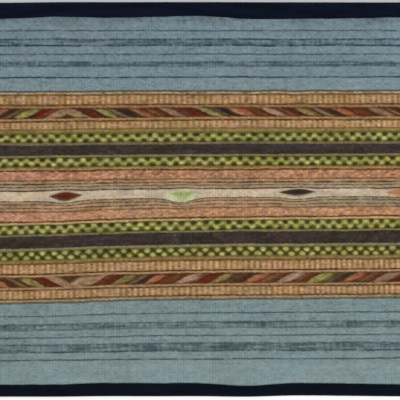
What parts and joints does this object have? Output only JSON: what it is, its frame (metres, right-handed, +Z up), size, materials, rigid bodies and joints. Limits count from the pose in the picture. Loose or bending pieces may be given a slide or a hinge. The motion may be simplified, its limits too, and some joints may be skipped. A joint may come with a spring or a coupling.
{
  "type": "woven tapestry",
  "caption": "Flat weft-faced woven wool tapestry in horizontal bands, with rope borders, spotted bands and lens figures, and a dark tape binding folded over each warp end.",
  "frame": {"origin": "under the middle of the cloth, on the surface it lies on", "axes": "+X along the weft, to the right in the picture; +Y along the warp, to the top of the picture; +Z up, out of the face"},
  "size_m": [0.72, 0.5, 0.0048],
  "materials": {
    "wool_weave": "matte hand-spun wool, weft-faced",
    "binding_tape": "matte near-black navy tape"
  },
  "bodies": {
    "root": {"woven_panel": "wool_weave", "upper_binding": "binding_tape", "lower_binding": "binding_tape"}
  },
  "joints": []
}
